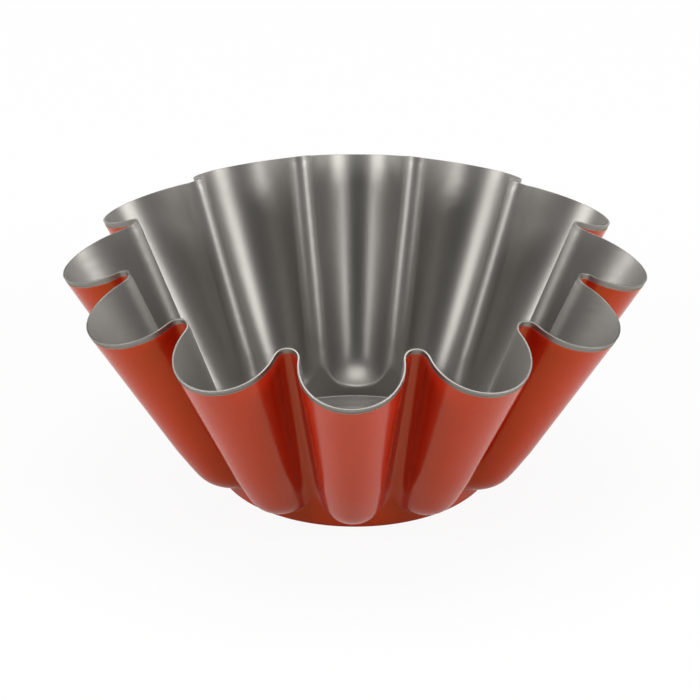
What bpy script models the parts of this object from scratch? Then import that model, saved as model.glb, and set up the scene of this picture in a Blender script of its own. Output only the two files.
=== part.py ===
"""Fluted pudding mould: one sheet of steel pressed into twelve flaring flutes over a round flat base,
lacquered outside and lined with a non-stick coat inside.

Metres, +Z up. The mould stands on z = 0 with its axis on Z and the crest of one flute facing -Y.
The sheet and its two coats are three thin shells stacked inwards from one surface, the outer face.
"""

import math

import bmesh
import bpy

# Flutes, seen from above
FLUTE_COUNT = 12
RIM_CREST_RADIUS = 0.1105      # to the outside of a flute, at the rim
RIM_VALLEY_RADIUS = 0.087      # to the fold between two flutes, at the rim
FOOT_CREST_RADIUS = 0.0615     # where the line of a crest would meet the table
RIM_FOLD_RADIUS = 0.0042       # outside radius of a fold, at the rim
FOOT_FOLD_RADIUS = 0.0045      # and at its foot

# Heights above the table
RIM_HEIGHT = 0.0909            # rim at the folds, its highest places
RIM_DROP = 0.0110              # how much lower the rim runs over each crest
BASE_WALL_HEIGHT = 0.0145      # top of the round base wall, where a fold ends
FLUTE_FLOOR_HEIGHT = 0.0039    # lowest place of a flute's rounded end
FLUTE_END_HEIGHT = 0.0077      # height over which a flute's end rounds into its wall, at the crest
FLANK_END_HEIGHT = 0.0120      # and the same beside a fold
FLUTE_END_CURVE = 2.4          # how the U of a flute's end climbs to the fold: 1 is a V, more is rounder

# Base
BASE_RADIUS = 0.0530           # foot of the round base wall
BASE_WALL_TOP_RADIUS = 0.0556
BASE_CORNER_RADIUS = 0.0012    # between the base wall and the flat ring it stands on
PANEL_RADIUS = 0.0440          # raised middle of the base
PANEL_STEP_WIDTH = 0.0015
PANEL_RISE = 0.0010

# Sheet and coats
SHEET_THICKNESS = 0.0005
LACQUER_THICKNESS = 0.0001
LINING_THICKNESS = 0.0001
COAT_CLEARANCE = 0.00005       # hairline between the sheet and each coat, so that no two solids overlap
BARE_EDGE_HEIGHT = 0.0020      # strip under the rim that the lacquer leaves bare

# Facets
CREST_SEGMENTS = 4             # half a flute's round, crest to side
FOLD_SEGMENTS = 2              # half a fold
END_SEGMENTS = 4               # rounding of a flute's end
BASE_SEGMENTS_PER_FLUTE = 4

HALF_PITCH = math.pi / FLUTE_COUNT
FRONT = -math.pi / 2           # direction of the first crest


def polar(radius, angle):
    return radius * math.cos(angle), radius * math.sin(angle)


def arc(centre, radius, start, end, segments):
    """Points from start to end, both included."""
    steps = [start + (end - start) * i / segments for i in range(segments + 1)]
    return [(centre[0] + radius * math.cos(a), centre[1] + radius * math.sin(a)) for a in steps]


def half_flute(crest_radius, valley_radius, fold_radius):
    """Plan of half a flute, from its crest on +X to the fold: two arcs that touch.

    The flute's own radius is the one that reaches the crest and touches the fold's circle.
    """
    fold_x, fold_y = polar(valley_radius + fold_radius, HALF_PITCH)
    reach = crest_radius + fold_radius - fold_x
    flute_radius = ((fold_x - crest_radius) ** 2 + fold_y ** 2 - fold_radius ** 2) / (2 * reach)
    flute_x = crest_radius - flute_radius
    side = math.atan2(fold_y, fold_x - flute_x)
    crest = arc((flute_x, 0), flute_radius, 0, side, CREST_SEGMENTS)
    fold = arc((fold_x, fold_y), fold_radius, side + math.pi, HALF_PITCH + math.pi, FOLD_SEGMENTS)
    return crest + fold[1:]


def base_wall_radius(height):
    flare = (BASE_WALL_TOP_RADIUS - BASE_RADIUS) / BASE_WALL_HEIGHT
    return BASE_RADIUS + flare * height


def foot_valley_radius():
    """Where the line of a fold would meet the table: it runs from the rim to the top of the base wall."""
    share = BASE_WALL_HEIGHT / RIM_HEIGHT
    return (BASE_WALL_TOP_RADIUS - share * RIM_VALLEY_RADIUS) / (1 - share)


def half_flute_lines():
    """Straight lines up the wall, crest to fold, each as its foot, its top and where the flute's end
    cuts into the base wall."""
    feet = half_flute(FOOT_CREST_RADIUS, foot_valley_radius(), FOOT_FOLD_RADIUS)
    tops = half_flute(RIM_CREST_RADIUS, RIM_VALLEY_RADIUS, RIM_FOLD_RADIUS)
    lines = []
    for foot, top in zip(feet, tops):
        outward = (math.hypot(*top) - RIM_VALLEY_RADIUS) / (RIM_CREST_RADIUS - RIM_VALLEY_RADIUS)
        across = min(math.atan2(foot[1], foot[0]) / HALF_PITCH, 1)
        climb = BASE_WALL_HEIGHT - FLUTE_FLOOR_HEIGHT
        lines.append({
            "foot": foot,
            "top": top,
            "top_height": RIM_HEIGHT - RIM_DROP * outward,
            "floor": FLUTE_FLOOR_HEIGHT + climb * across ** FLUTE_END_CURVE,
            "end": FLUTE_END_HEIGHT + (FLANK_END_HEIGHT - FLUTE_END_HEIGHT) * across ** 2,
        })
    return lines


def line_point(line, height, opening):
    """Distance from the axis, angle and height of a point on a wall line. opening runs from 0, on the
    round base wall, to 1, on the fluted wall."""
    share = height / line["top_height"]
    x, y = (f + (t - f) * share for f, t in zip(line["foot"], line["top"]))
    base = base_wall_radius(height)
    return base + (math.hypot(x, y) - base) * opening, math.atan2(y, x), height


def half_flute_rows():
    """The fluted wall as rows of points from the flute's end up to the rim, each crest to fold."""
    lines = half_flute_lines()
    rows = []
    for i in range(END_SEGMENTS + 1):
        turn = math.pi / 2 * i / END_SEGMENTS
        rise = 1 - math.cos(turn)
        rows.append([line_point(line, line["floor"] + line["end"] * rise, math.sin(turn)) for line in lines])
    for below_rim in (BARE_EDGE_HEIGHT, 0):
        rows.append([line_point(line, line["top_height"] - below_rim, 1) for line in lines])
    return rows


def around(half_row):
    """Mirrors half a flute's row and repeats it round the axis."""
    flute = [(r, -a, z) for r, a, z in reversed(half_row[1:])] + half_row[:-1]
    ring = []
    for n in range(FLUTE_COUNT):
        turn = FRONT + 2 * HALF_PITCH * n
        ring += [(*polar(r, a + turn), z) for r, a, z in flute]
    return ring


def circle(radius, height):
    segments = FLUTE_COUNT * BASE_SEGMENTS_PER_FLUTE
    start = FRONT - HALF_PITCH
    return [(*polar(radius, start + 2 * math.pi * i / segments), height) for i in range(segments)]


def join_rings(bm, lower, upper):
    """Quads between two rings of equal count, facing away from the axis."""
    count = len(lower)
    for i in range(count):
        j = (i + 1) % count
        bm.faces.new((lower[i], lower[j], upper[j], upper[i]))


def zip_rings(bm, lower, upper):
    """Triangles between a coarse ring and a fine one whose count is a multiple of it."""
    ratio = len(upper) // len(lower)
    for i, corner in enumerate(lower):
        after = lower[(i + 1) % len(lower)]
        fine = [upper[(i * ratio + k) % len(upper)] for k in range(ratio + 1)]
        turn = (ratio + 1) // 2
        for k in range(ratio):
            apex = corner if k < turn else after
            bm.faces.new((apex, fine[k + 1], fine[k]))
        bm.faces.new((corner, after, fine[turn]))


def outer_face(rows_left_off):
    """The mould's outer face as an open surface of triangles, short of the rim by some rows."""
    bm = bmesh.new()
    base = [
        circle(PANEL_RADIUS - PANEL_STEP_WIDTH, PANEL_RISE),
        circle(PANEL_RADIUS, 0),
        circle(BASE_RADIUS - BASE_CORNER_RADIUS, 0),
        circle(base_wall_radius(BASE_CORNER_RADIUS), BASE_CORNER_RADIUS),
    ]
    rows = half_flute_rows()
    wall = [around(row) for row in rows[:len(rows) - rows_left_off]]
    base_rings = [[bm.verts.new(p) for p in ring] for ring in base]
    wall_rings = [[bm.verts.new(p) for p in ring] for ring in wall]
    bm.faces.new(reversed(base_rings[0]))
    for lower, upper in zip(base_rings, base_rings[1:]):
        join_rings(bm, lower, upper)
    zip_rings(bm, base_rings[-1], wall_rings[0])
    for lower, upper in zip(wall_rings, wall_rings[1:]):
        join_rings(bm, lower, upper)
    bmesh.ops.triangulate(bm, faces=bm.faces[:], quad_method="SHORT_EDGE")
    return bm


def material(name, colour, roughness, metallic):
    mat = bpy.data.materials.new(name)
    mat.use_nodes = True
    shader = mat.node_tree.nodes["Principled BSDF"]
    shader.inputs["Base Color"].default_value = (*colour, 1)
    shader.inputs["Roughness"].default_value = roughness
    shader.inputs["Metallic"].default_value = metallic
    return mat


def shell(name, mat, depth, thickness, collection, rows_left_off=0):
    """One layer of the wall, from depth to depth + thickness inside the outer face."""
    bm = outer_face(rows_left_off)
    mesh = bpy.data.meshes.new(name)
    bm.to_mesh(mesh)
    bm.free()
    mesh.materials.append(mat)
    mesh.shade_smooth()
    obj = bpy.data.objects.new(name, mesh)
    collection.objects.link(obj)
    solidify = obj.modifiers.new("Wall", "SOLIDIFY")
    solidify.thickness = thickness
    solidify.offset = -1 - 2 * depth / thickness
    solidify.use_even_offset = True
    solidify.use_quality_normals = True
    return obj


def main():
    for obj in list(bpy.data.objects):
        bpy.data.objects.remove(obj, do_unlink=True)
    mould = bpy.data.collections.new("PuddingMould")
    bpy.context.scene.collection.children.link(mould)

    steel = material("BareSteel", (0.56, 0.54, 0.50), 0.32, 1.0)
    lacquer = material("RedLacquer", (0.42, 0.035, 0.018), 0.14, 0.0)
    non_stick = material("GreyNonStick", (0.13, 0.125, 0.115), 0.34, 0.35)

    sheet_depth = LACQUER_THICKNESS + COAT_CLEARANCE
    lining_depth = sheet_depth + SHEET_THICKNESS + COAT_CLEARANCE
    shell("red_outer_lacquer", lacquer, 0, LACQUER_THICKNESS, mould, rows_left_off=1)
    shell("pressed_shell", steel, sheet_depth, SHEET_THICKNESS, mould)
    shell("nonstick_lining", non_stick, lining_depth, LINING_THICKNESS, mould)


main()
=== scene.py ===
import math

import bpy
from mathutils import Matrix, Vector


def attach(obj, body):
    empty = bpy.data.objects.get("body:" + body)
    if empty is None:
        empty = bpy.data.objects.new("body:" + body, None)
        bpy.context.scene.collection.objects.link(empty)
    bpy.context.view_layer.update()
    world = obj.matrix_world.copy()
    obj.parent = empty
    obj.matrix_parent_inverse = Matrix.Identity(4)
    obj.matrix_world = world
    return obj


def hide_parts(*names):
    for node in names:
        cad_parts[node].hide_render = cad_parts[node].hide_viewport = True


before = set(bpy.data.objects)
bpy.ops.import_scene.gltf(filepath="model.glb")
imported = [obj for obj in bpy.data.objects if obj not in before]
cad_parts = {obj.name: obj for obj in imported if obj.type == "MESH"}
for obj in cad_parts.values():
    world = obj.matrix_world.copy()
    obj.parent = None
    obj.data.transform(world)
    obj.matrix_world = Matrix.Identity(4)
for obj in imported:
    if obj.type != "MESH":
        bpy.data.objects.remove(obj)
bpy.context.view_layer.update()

# Fluted pudding mould, pressed from one sheet of steel over a round flat base,
# with red lacquer outside and a grey non-stick coat inside.
# Metres, +Z up, standing on z = 0 with the crest of one flute facing -Y.


# Shader maths: a wire is one output of a node, and arithmetic on it adds Math nodes

class Wire:
    def __init__(self, finish, socket):
        self.finish, self.socket = finish, socket

    def maths(self, operation, *values):
        return self.finish.node("ShaderNodeMath", {"operation": operation}, dict(enumerate(values)))

    def __add__(self, other): return self.maths("ADD", self, other)
    def __radd__(self, other): return self.maths("ADD", other, self)
    def __sub__(self, other): return self.maths("SUBTRACT", self, other)
    def __rsub__(self, other): return self.maths("SUBTRACT", other, self)
    def __mul__(self, other): return self.maths("MULTIPLY", self, other)
    def __rmul__(self, other): return self.maths("MULTIPLY", other, self)
    def most(self, other): return self.maths("MAXIMUM", self, other)
    def isUnder(self, other): return self.maths("LESS_THAN", self, other)


class Finish:
    def __init__(self, owner):
        # owner is a new material or world
        owner.use_nodes = True
        self.owner, self.tree = owner, owner.node_tree
        self.tree.nodes.clear()

    def node(self, kind, settings=None, sockets=None, out=0):
        # each socket takes a plain value or the wire of another node
        added = self.tree.nodes.new(kind)
        for name, value in (settings or {}).items():
            setattr(added, name, value)
        for name, value in (sockets or {}).items():
            if isinstance(value, Wire):
                self.tree.links.new(value.socket, added.inputs[name])
            else:
                added.inputs[name].default_value = value
        return Wire(self, added.outputs[out]) if added.outputs else None

    def mix(self, share, first, second):
        # the colour sockets share their names with others, so they go by number
        sockets = {0: share, 6: first, 7: second}
        return self.node("ShaderNodeMix", {"data_type": "RGBA"}, sockets, out=2)

    def ramp(self, value, low, high):
        return self.node("ShaderNodeMapRange", {"interpolation_type": "SMOOTHSTEP"},
                         {"Value": value, "From Min": low, "From Max": high})

    def noise(self, place, scale, detail):
        return self.node("ShaderNodeTexNoise", {},
                         {"Vector": place, "Scale": scale, "Detail": detail})

    def stretched(self, place, scale):
        return self.node("ShaderNodeMapping", {}, {"Vector": place, "Scale": scale})

    def bump(self, strength, distance, height):
        return self.node("ShaderNodeBump", {},
                         {"Strength": strength, "Distance": distance, "Height": height})

    def coated(self, sockets):
        self.shownBy("ShaderNodeOutputMaterial", self.node("ShaderNodeBsdfPrincipled", {}, sockets))
        return self.owner

    def shownBy(self, output, shader):
        self.node(output, {}, {"Surface": shader})


def rgba(colour, shade=1):
    return (*(shade * channel for channel in colour), 1)


# The form: plan of a flute, and the lines that run up the wall

mould = {
    "flutes": 12,
    "rimCrest": 0.1105,           # axis to the outside of a flute, at the rim
    "rimFold": 0.087,             # axis to the fold between two flutes, at the rim
    "footCrest": 0.0615,          # where the line of a crest would meet the table
    "rimFoldRound": 0.0042,       # outside radius of a fold, at the rim
    "footFoldRound": 0.0045,      # and at its foot
    "rimHeight": 0.0909,          # at the folds, the rim's highest places
    "rimDrop": 0.0110,            # how much lower the rim runs over a crest
    "tipLength": 0.0030,          # the tip of a fold, under the rim, is bent outward
    "tipStep": 0.0010,            # height over which it bends
    "tipBend": 0.00022,           # and how far out
    "baseWallHeight": 0.0145,     # top of the round base wall, where a fold ends
    "fluteFloor": 0.0039,         # lowest place of a flute's rounded end
    "fluteEnd": 0.0077,           # height over which that end rounds into the wall
    "flankEnd": 0.0120,           # and the same beside a fold
    "archPower": 2.4,             # how the U of that end climbs to the fold
    "baseRadius": 0.0530,
    "baseTopRadius": 0.0556,
    "baseCorner": 0.0012,
    "panelRadius": 0.0440,        # raised middle of the base
    "panelStep": 0.0015,
    "panelRise": 0.0010,
    "discRadius": 0.0390,         # a fainter step within it
    "discStep": 0.0010,
    "discRise": 0.0003,
    "middleRadius": 0.00152,      # the flat face that closes the middle
}
cuts = {                          # how finely each stretch is cut, from the plan to the rim
    "crest": 15,                  # half a flute's round
    "fold": 8,                    # half a fold
    "lead": 2,                    # columns beside a fold that share the bend of its tip
    "disc": 5,
    "step": 5,                    # each of the two steps of the base
    "panel": 2,
    "ring": 2,                    # flat ring that the mould stands on
    "corner": 4,
    "baseWall": 8,
    "end": 18,
    "wall": 14,
    "tip": 6,
    "endCrowding": 1.6,           # above 1, the cuts crowd toward a flute's end
    "rimCrowding": 1.3,           # and toward the rim
}
halfPitch = math.pi / mould["flutes"]
tipRing = mould["tipLength"] / cuts["tip"]


def arc(centre, radius, start, end, count):
    turns = [start + (end - start) * i / count for i in range(count + 1)]
    return [(centre[0] + radius * math.cos(t), centre[1] + radius * math.sin(t)) for t in turns]


def halfFlute(crest, valley, foldRound):
    # two arcs that touch: the flute's own round, and the fold
    foldX = (valley + foldRound) * math.cos(halfPitch)
    foldY = (valley + foldRound) * math.sin(halfPitch)
    reach = crest + foldRound - foldX
    fluteRound = ((foldX - crest) ** 2 + foldY ** 2 - foldRound ** 2) / (2 * reach)
    fluteX = crest - fluteRound
    side = math.atan2(foldY, foldX - fluteX)
    flute = arc((fluteX, 0), fluteRound, 0, side, cuts["crest"])
    fold = arc((foldX, foldY), foldRound, side + math.pi, halfPitch + math.pi, cuts["fold"])
    return flute + fold[1:]


def wallLines():
    # straight lines up the wall, from crest to fold
    share = mould["baseWallHeight"] / mould["rimHeight"]
    footValley = (mould["baseTopRadius"] - share * mould["rimFold"]) / (1 - share)
    feet = halfFlute(mould["footCrest"], footValley, mould["footFoldRound"])
    tops = halfFlute(mould["rimCrest"], mould["rimFold"], mould["rimFoldRound"])
    depth = mould["rimCrest"] - mould["rimFold"]
    climb = mould["baseWallHeight"] - mould["fluteFloor"]
    lines = []
    for i, (foot, top) in enumerate(zip(feet, tops)):
        outward = (math.hypot(*top) - mould["rimFold"]) / depth
        across = min(math.atan2(foot[1], foot[0]) / halfPitch, 1)
        lines.append({
            "foot": foot,
            "top": top,
            "topHeight": mould["rimHeight"] - mould["rimDrop"] * outward,
            "floor": mould["fluteFloor"] + climb * across ** mould["archPower"],
            "end": mould["fluteEnd"] + (mould["flankEnd"] - mould["fluteEnd"]) * across ** 2,
            # from 0 just before the fold to 1 in its middle
            "nearFold": max(0, i - cuts["crest"] + cuts["lead"]) / (cuts["fold"] + cuts["lead"]),
        })
    return lines


def baseWallRadius(height):
    flare = (mould["baseTopRadius"] - mould["baseRadius"]) / mould["baseWallHeight"]
    return mould["baseRadius"] + flare * height


def onLine(line, height, opening=1):
    # opening runs from 0, on the round base wall, to 1, on the fluted wall
    share = height / line["topHeight"]
    x, y = (f + (t - f) * share for f, t in zip(line["foot"], line["top"]))
    base = baseWallRadius(height)
    radius = base + (math.hypot(x, y) - base) * opening
    intoTip = height - (line["topHeight"] - mould["tipLength"])
    bent = min(max(intoTip, 0) / mould["tipStep"], 1)
    radius += mould["tipBend"] * line["nearFold"] ** 2 * (1 - math.cos(math.pi * bent)) / 2
    return radius, math.atan2(y, x), height


def shares(count):
    return [i / count for i in range(1, count + 1)]


def baseStretch(start, end, high, low, count):
    # (radius, height) along a stretch of the base that eases down from high to low
    places = []
    for share in shares(count):
        above = (high - low) * (1 + math.cos(math.pi * share)) / 2
        places.append((start + (end - start) * share, low + above))
    return places


def basePlaces():
    # from the middle out to where the base's corner begins
    middle, rise = mould["middleRadius"], mould["panelRise"]
    disc, panel = mould["discRadius"], mould["panelRadius"]
    discEdge, panelEdge = disc - mould["discStep"], panel - mould["panelStep"]
    ledge = rise - mould["discRise"]
    return [
        (middle, rise),
        *baseStretch(middle, discEdge, rise, rise, cuts["disc"]),
        *baseStretch(discEdge, disc, rise, ledge, cuts["step"]),
        *baseStretch(disc, panelEdge, ledge, ledge, cuts["panel"]),
        *baseStretch(panelEdge, panel, ledge, 0, cuts["step"]),
        *baseStretch(panel, mould["baseRadius"] - mould["baseCorner"], 0, 0, cuts["ring"]),
    ]


def columnPlaces(line, short):
    # (radius, angle, height) of one column, from the middle of the base to the rim
    angle = onLine(line, line["floor"])[1]
    places = [(radius, angle, height) for radius, height in basePlaces()]
    corner = mould["baseCorner"]
    for share in shares(cuts["corner"]):
        turn = math.pi / 2 * share
        flare = (baseWallRadius(corner) - mould["baseRadius"]) * math.sin(turn)
        radius = mould["baseRadius"] - corner + corner * math.sin(turn) + flare
        places.append((radius, angle, corner * (1 - math.cos(turn))))
    for share in shares(cuts["baseWall"]):
        height = corner + (line["floor"] - corner) * (1 - (1 - share) ** cuts["endCrowding"])
        places.append((baseWallRadius(height), angle, height))
    for share in shares(cuts["end"]):
        turn = math.pi / 2 * share ** cuts["endCrowding"]
        height = line["floor"] + line["end"] * (1 - math.cos(turn))
        places.append(onLine(line, height, math.sin(turn)))
    start, tip = line["floor"] + line["end"], line["topHeight"] - mould["tipLength"]
    for share in shares(cuts["wall"]):
        height = start + (tip - start) * (1 - (1 - share) ** cuts["rimCrowding"])
        places.append(onLine(line, height))
    for i in range(1, cuts["tip"] + 1):
        places.append(onLine(line, tip + tipRing * i - (short if i == cuts["tip"] else 0)))
    return places


# Pressing: a plain tube is cut into rings, and each ring goes to its place in the form

pressing = {
    "softFrom": 1.3,              # softening starts this many base corners above the table
    "softFactor": 0.5,
    "softRounds": 20,
    "bevelOver": 50,              # degrees: sharper edges are rounded
    "bevelSegments": 2,
    "smoothUnder": 45,            # degrees: flatter edges are shaded smooth
}


def corners(piece):
    flat = [0.0] * (3 * len(piece.data.vertices))
    piece.data.vertices.foreach_get("co", flat)
    return list(zip(flat[::3], flat[1::3], flat[2::3]))


def marked(piece, kind, wanted):
    # into edit mode, with only the wanted vertices or edges selected
    bpy.ops.object.mode_set(mode="EDIT")
    bpy.ops.mesh.select_mode(type=kind)
    bpy.ops.mesh.select_all(action="DESELECT")
    bpy.ops.object.mode_set(mode="OBJECT")
    points = corners(piece)
    if kind == "EDGE":
        ends = [0] * (2 * len(piece.data.edges))
        piece.data.edges.foreach_get("vertices", ends)
        flags = [wanted(points[a], points[b]) for a, b in zip(ends[::2], ends[1::2])]
        piece.data.edges.foreach_set("select", flags)
    else:
        piece.data.vertices.foreach_set("select", [wanted(point) for point in points])
    bpy.ops.object.mode_set(mode="EDIT")


def ringTube(name, columns, rings):
    # one metre of tube to each ring, so that a corner's height gives its ring
    length = rings - 1
    bpy.ops.object.select_all(action="DESELECT")
    bpy.ops.mesh.primitive_cylinder_add(
        vertices=columns, radius=mould["baseRadius"], depth=length,
        end_fill_type="NOTHING", location=(0, 0, length / 2))
    piece = bpy.context.object
    piece.name = piece.data.name = name
    bpy.ops.object.transform_apply()
    # cut the edges that run up it
    marked(piece, "EDGE", lambda a, b: abs(a[2] - b[2]) > length / 2)
    bpy.ops.mesh.subdivide(number_cuts=rings - 2)
    bpy.ops.object.mode_set(mode="OBJECT")
    return piece


def pressedFace(name, ringsLeftOff, short):
    lines = wallLines()
    half = len(lines) - 1         # columns from a crest to a fold
    columns = mould["flutes"] * 2 * half
    places = [columnPlaces(line, short) for line in lines]
    piece = ringTube(name, columns, len(places[0]) - ringsLeftOff)

    moved, belowRim = [], []
    for x, y, z in corners(piece):
        turn = math.atan2(x, -y) % (2 * math.pi)
        column = round(turn / (2 * math.pi) * columns) % columns
        flute, step = divmod(column + half, 2 * half)
        step -= half              # columns from this flute's crest, to either side
        radius, angle, height = places[abs(step)][round(z)]
        angle = math.copysign(angle, step) + 2 * halfPitch * flute - math.pi / 2
        moved += [radius * math.cos(angle), radius * math.sin(angle), height]
        belowRim.append(lines[abs(step)]["topHeight"] - height)
    piece.data.vertices.foreach_set("co", moved)
    piece.data.attributes.new("belowRim", "FLOAT", "POINT").data.foreach_set("value", belowRim)

    # close the innermost ring with a face
    within = 2 * mould["middleRadius"]
    marked(piece, "EDGE", lambda a, b: max(math.hypot(*a[:2]), math.hypot(*b[:2])) < within)
    bpy.ops.mesh.edge_face_add()
    bpy.ops.mesh.select_all(action="SELECT")
    bpy.ops.mesh.normals_make_consistent(inside=False)
    bpy.ops.object.mode_set(mode="OBJECT")
    return piece


def softened(piece):
    # the sheet doesn't bend sharply where a flute's end meets the base wall
    lowest = mould["baseCorner"] * pressing["softFrom"]
    highest = mould["baseWallHeight"] + mould["fluteEnd"]
    marked(piece, "VERT", lambda point: lowest < point[2] < highest)
    bpy.ops.mesh.vertices_smooth(factor=pressing["softFactor"], repeat=pressing["softRounds"])
    bpy.ops.object.mode_set(mode="OBJECT")


def layer(name, depth, thickness, ringsLeftOff=0, short=0, edgeRound=0):
    # one layer of the wall, from depth to depth + thickness inside the outer face
    piece = pressedFace(name, ringsLeftOff, short)
    softened(piece)
    wall = piece.modifiers.new("wall", "SOLIDIFY")
    wall.thickness = thickness
    wall.offset = -1 - 2 * depth / thickness
    wall.use_even_offset = True
    wall.use_quality_normals = True
    bpy.ops.object.modifier_apply(modifier=wall.name)
    if edgeRound:
        edges = piece.modifiers.new("edges", "BEVEL")
        edges.width = edgeRound
        edges.segments = pressing["bevelSegments"]
        edges.limit_method = "ANGLE"
        edges.angle_limit = math.radians(pressing["bevelOver"])
        bpy.ops.object.modifier_apply(modifier=edges.name)
    bpy.ops.object.shade_smooth_by_angle(angle=math.radians(pressing["smoothUnder"]))
    piece.select_set(False)
    return piece


def dressed(piece, material, slot, *nodes):
    piece.data.materials.clear()
    piece.data.materials.append(material)
    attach(piece, "root")
    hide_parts(*nodes)
    print("made", piece.name)


# Red lacquer, sprayed outside up to a bare strip under the rim

lacquer = {
    "thickness": 0.00011,         # a hair more than the sheet's depth, so that no gap shows
    "bareStrip": 0.0020,          # under the rim
    "thinEdge": 0.0005,           # strip where the lacquer is so thin that steel shows through
    "fade": 0.0007,               # height over which red gives way to steel
    "wander": 0.0006,             # how far its edge strays up and down
    "wanderScale": 160,
    "red": (0.445, 0.0215, 0.0060),
    "deepRed": (0.395, 0.0165, 0.0045),
    "cloudScale": 45,
    "sheen": (1.0, 0.60, 0.12),
    "ior": 1.6,
    "roughness": 0.17,
    "mottle": 0.04,               # how much the roughness varies
    "mottleScale": 120,
    "thinRoughness": 0.2,         # added where the steel shows through
    "peelScale": 700,
    "peelBump": 0.05,
    "peelDepth": 0.0003,
}


def redLacquer():
    paint = Finish(bpy.data.materials.new("redLacquer"))
    place = paint.node("ShaderNodeTexCoord", out="Object")
    belowRim = paint.node("ShaderNodeAttribute", {"attribute_name": "belowRim"}, out="Fac")
    clouds = paint.noise(place, lacquer["cloudScale"], detail=3)
    red = paint.mix(clouds, rgba(lacquer["deepRed"]), rgba(lacquer["red"]))
    stray = (paint.noise(place, lacquer["wanderScale"], detail=3) - 0.5) * lacquer["wander"]
    start = lacquer["bareStrip"] - lacquer["fade"] / 2
    cover = paint.ramp(belowRim + stray, start, start + lacquer["fade"])
    mottle = paint.noise(place, lacquer["mottleScale"], detail=2)
    uneven = lacquer["mottle"] * mottle + lacquer["thinRoughness"] * (1 - cover)
    peel = paint.noise(place, lacquer["peelScale"], detail=1)
    return paint.coated({
        "Base Color": paint.mix(cover, rgba(steel["tone"]), red),
        "Metallic": 1 - cover,
        "Roughness": lacquer["roughness"] + uneven,
        "IOR": lacquer["ior"],
        "Specular Tint": rgba(lacquer["sheen"]),
        "Normal": paint.bump(lacquer["peelBump"], lacquer["peelDepth"], peel),
    })


# Bare steel, seen at the cut edge and on the strip under it; the cut edge is lighter, partly its
# own bare face and partly a painted highlight along the rim

steel = {
    "thickness": 0.00061,         # it reaches a hair into the lining
    "depth": 0.0001,              # from the outer face in to where the sheet begins
    "edgeRound": 0.00012,         # at its cut edge
    "tone": (0.27, 0.265, 0.245),
    # the cut edge's tone is lighter than the strip's: the bare cut face, plus a painted highlight
    # along the rim
    "cutAndHighlightTone": (0.31, 0.30, 0.275),
    "cutAndHighlightFade": (0.00025, 0.0001), # where the lighter cut edge, with its painted highlight, comes in below the rim
    "roughness": 0.35,
    "drawnScale": 900,            # fine marks of drawing, up the wall
    "drawnStretch": (1, 1, 0.1),
    "drawnShade": 0.85,
    "drawnRoughness": 0.1,
}


def bareSteel():
    metal = Finish(bpy.data.materials.new("bareSteel"))
    place = metal.node("ShaderNodeTexCoord", out="Object")
    belowRim = metal.node("ShaderNodeAttribute", {"attribute_name": "belowRim"}, out="Fac")
    upWall = metal.stretched(place, steel["drawnStretch"])
    drawn = metal.noise(upWall, steel["drawnScale"], detail=2)
    strip = metal.mix(drawn, rgba(steel["tone"], steel["drawnShade"]), rgba(steel["tone"]))
    # lighter at the cut edge: the bare cut face, plus a painted highlight along the rim
    cutAndHighlight = metal.ramp(belowRim, *steel["cutAndHighlightFade"])
    return metal.coated({
        "Base Color": metal.mix(cutAndHighlight, strip, rgba(steel["cutAndHighlightTone"])),
        "Metallic": 1.0,
        "Roughness": steel["roughness"] + steel["drawnRoughness"] * drawn,
    })


# Grey non-stick coat inside

lining = {
    "thickness": 0.0001,
    "depth": 0.0007,              # from the outer face in to where the lining begins
    "short": 0.00012,             # how far it ends under the cut edge
    "grey": (0.335, 0.321, 0.301),
    "metal": 0.70,
    "roughness": 0.40,
    "cloudScale": 60,
    "cloudShade": 0.9,
    "cloudRoughness": 0.04,
    "rippleScale": 170,
    "rippleStretch": (1, 1, 2.5),
    "grain": 0.08,                # height of the grain against the ripple
    "grainScale": 800,
    "bump": 0.08,
    "bumpDepth": 0.0006,
}


def greyNonStick():
    coat = Finish(bpy.data.materials.new("greyNonStick"))
    place = coat.node("ShaderNodeTexCoord", out="Object")
    clouds = coat.noise(place, lining["cloudScale"], detail=3)
    shaded = rgba(lining["grey"], lining["cloudShade"])
    acrossWall = coat.stretched(place, lining["rippleStretch"])
    ripple = coat.noise(acrossWall, lining["rippleScale"], detail=0)
    relief = lining["grain"] * coat.noise(place, lining["grainScale"], detail=1) + ripple
    return coat.coated({
        "Base Color": coat.mix(clouds, shaded, rgba(lining["grey"])),
        "Metallic": lining["metal"],
        "Roughness": lining["roughness"] + lining["cloudRoughness"] * clouds,
        "Normal": coat.bump(lining["bump"], lining["bumpDepth"], relief),
    })


# Camera: a long lens, looking down on the mould from the front

camera = {
    "place": (0.01712, -1.36265, 0.74128),
    "aim": (-0.0016, -0.0170, 0.0565),
    "lens": 206.2,                # millimetres, and so is the sensor's width
    "sensor": 36,
    "clip": (0.05, 50),
}


def placeCamera():
    bpy.ops.object.camera_add(location=camera["place"])
    eye = bpy.context.object
    aim = Vector(camera["aim"]) - Vector(camera["place"])
    eye.rotation_euler = aim.to_track_quat("-Z", "Y").to_euler()
    eye.data.lens = camera["lens"]
    eye.data.sensor_width = camera["sensor"]
    eye.data.clip_start, eye.data.clip_end = camera["clip"]
    bpy.context.scene.camera = eye
    eye.select_set(False)
    print("camera placed")


# Studio: a white floor, pale surroundings low down, a dim ceiling and soft boxes

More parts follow.
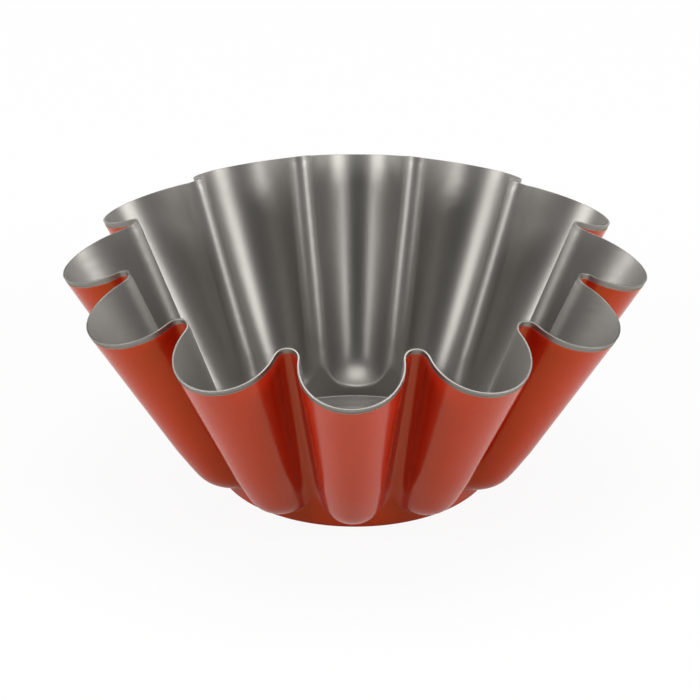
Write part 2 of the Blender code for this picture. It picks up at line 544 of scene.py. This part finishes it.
studio = {
    "floorSize": 16.0,
    "floorDrop": 0.0001,          # under the base
    "floorWhite": (0.80, 0.80, 0.80),
    "seenEven": 0.92,             # share of plain white in the floor that the camera sees
    "mirroredEven": 0.40,         # and in the floor that reflections show
    "contact": 0.002,             # the floor is clear to rays shorter than this
    # brightness of the surroundings at the horizon and overhead, and the height where
    # overhead begins, as a share of straight up
    "front": {"horizon": 1.3, "ceiling": 0.05, "bandTop": 0.20},
    "back": {"horizon": 2.3, "ceiling": 0.15, "bandTop": 0.34},
    "frontToBack": (-0.6, 0.1),   # where front fades into back, from -1 ahead to 1 behind
    "bandStart": 0.3,             # the horizon stays bright up to this share of bandTop
    "under": 0.45,                # brightness below the horizon
    "skyline": (-0.04, -0.01),    # where it passes into the horizon's
    "boxAim": 0.05,               # height of the point that the soft boxes face
    "boxes": {
        "leftKey": {"turn": -62.5, "rise": 28, "away": 2.0, "size": (1.22, 0.70), "level": 7.7},
        "rightKey": {"turn": 62.5, "rise": 28, "away": 2.0, "size": (1.22, 0.70), "level": 8.0},
        "topLight": {"turn": 180, "rise": 78, "away": 2.4, "size": (3.0, 1.4), "level": 3.6},
    },
}


def whiteFloor():
    bpy.ops.mesh.primitive_plane_add(
        size=studio["floorSize"], location=(0, 0, -studio["floorDrop"]))
    floor = bpy.context.object
    floor.name = "floor"
    bpy.ops.object.transform_apply()
    floor.select_set(False)
    ground = Finish(bpy.data.materials.new("whiteFloor"))
    lit = ground.node("ShaderNodeBsdfDiffuse", {}, {"Color": rgba(studio["floorWhite"])})
    even = ground.node("ShaderNodeEmission")
    seen, mirrored, through, length = (
        ground.node("ShaderNodeLightPath", out=name)
        for name in ("Is Camera Ray", "Is Glossy Ray", "Is Transmission Ray", "Ray Length"))
    share = (seen * studio["seenEven"]).most(mirrored.most(through) * studio["mirroredEven"])
    both = ground.node("ShaderNodeMixShader", {}, {0: share, 1: lit, 2: even})
    # seen from below the floor is clear, and it lets light reach the underside that stands on it
    below = ground.node("ShaderNodeNewGeometry", out="Backfacing")
    passing = below.most(length.isUnder(studio["contact"]))
    clear = ground.node("ShaderNodeBsdfTransparent")
    ground.shownBy("ShaderNodeOutputMaterial",
                   ground.node("ShaderNodeMixShader", {}, {0: passing, 1: both, 2: clear}))
    floor.data.materials.append(ground.owner)


def studioWorld():
    world = bpy.data.worlds.new("studioWorld")
    bpy.context.scene.world = world
    sky = Finish(world)
    way = sky.node("ShaderNodeTexCoord", out="Generated")
    ahead, rise = (sky.node("ShaderNodeSeparateXYZ", {}, {"Vector": way}, out) for out in "YZ")
    behind = sky.ramp(ahead, *studio["frontToBack"])
    front, back = studio["front"], studio["back"]
    horizon, ceiling, top = (front[key] + behind * (back[key] - front[key]) for key in front)
    above = horizon + sky.ramp(rise, top * studio["bandStart"], top) * (ceiling - horizon)
    under = studio["under"]
    level = under + sky.ramp(rise, *studio["skyline"]) * (above - under)
    sky.shownBy("ShaderNodeOutputWorld", sky.node("ShaderNodeBackground", {}, {"Strength": level}))


def softBox(name, box):
    turn, rise = math.radians(box["turn"]), math.radians(box["rise"])
    flat = math.cos(rise)
    way = Vector((math.sin(turn) * flat, -math.cos(turn) * flat, math.sin(rise)))
    place = way * box["away"] + Vector((0, 0, studio["boxAim"]))
    width, height = box["size"]
    bpy.ops.object.light_add(type="AREA", location=place)
    lamp = bpy.context.object
    lamp.name = name
    lamp.data.shape = "RECTANGLE"
    lamp.data.size, lamp.data.size_y = width, height
    lamp.data.energy = box["level"] * math.pi * width * height
    lamp.rotation_euler = (-way).to_track_quat("-Z", "Y").to_euler()
    lamp.visible_camera = False
    lamp.select_set(False)


bpy.context.scene.view_settings.view_transform = "Standard"
placeCamera()
whiteFloor()
studioWorld()
for name, box in studio["boxes"].items():
    softBox(name, box)
print("studio ready")

bareRings = round((lacquer["bareStrip"] - lacquer["thinEdge"]) / tipRing)
dressed(layer("redLacquerCoat", 0, lacquer["thickness"], ringsLeftOff=bareRings),
        redLacquer(), "red_lacquer", "red_outer_lacquer")
dressed(layer("pressedSheet", steel["depth"], steel["thickness"], edgeRound=steel["edgeRound"]),
        bareSteel(), "bare_steel", "pressed_shell")
dressed(layer("nonStickLining", lining["depth"], lining["thickness"], short=lining["short"]),
        greyNonStick(), "grey_non_stick", "nonstick_lining")
